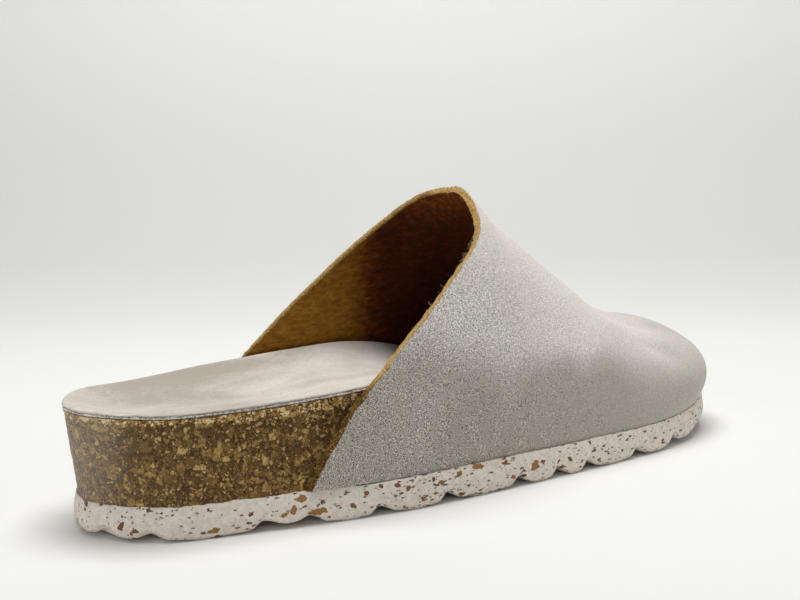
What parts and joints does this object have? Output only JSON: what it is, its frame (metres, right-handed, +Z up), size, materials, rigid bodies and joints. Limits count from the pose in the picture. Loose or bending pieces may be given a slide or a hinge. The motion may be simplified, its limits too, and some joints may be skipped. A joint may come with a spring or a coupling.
{
  "type": "closed-toe slide sandal",
  "caption": "Right slide sandal: a closed-toe suede vamp cut away behind the instep, on a moulded cork footbed with a suede insole and a flecked foam outsole with a lugged tread.",
  "frame": {"origin": "on the floor under the middle of the sandal's box", "axes": "+X from heel to toe, +Y to the inner, big-toe side, +Z up"},
  "size_m": [0.2659, 0.101, 0.0948],
  "materials": {
    "foam_rubber": "matte off-white foam with brown flecks",
    "cork": "matte pressed cork granules",
    "insole_suede": "matte pale suede",
    "grey_suede": "matte warm grey suede with a brown leather lining and raw edges"
  },
  "bodies": {
    "root": {"outsole": "foam_rubber", "cork_footbed": "cork", "insole": "insole_suede", "upper": "grey_suede"}
  },
  "joints": []
}
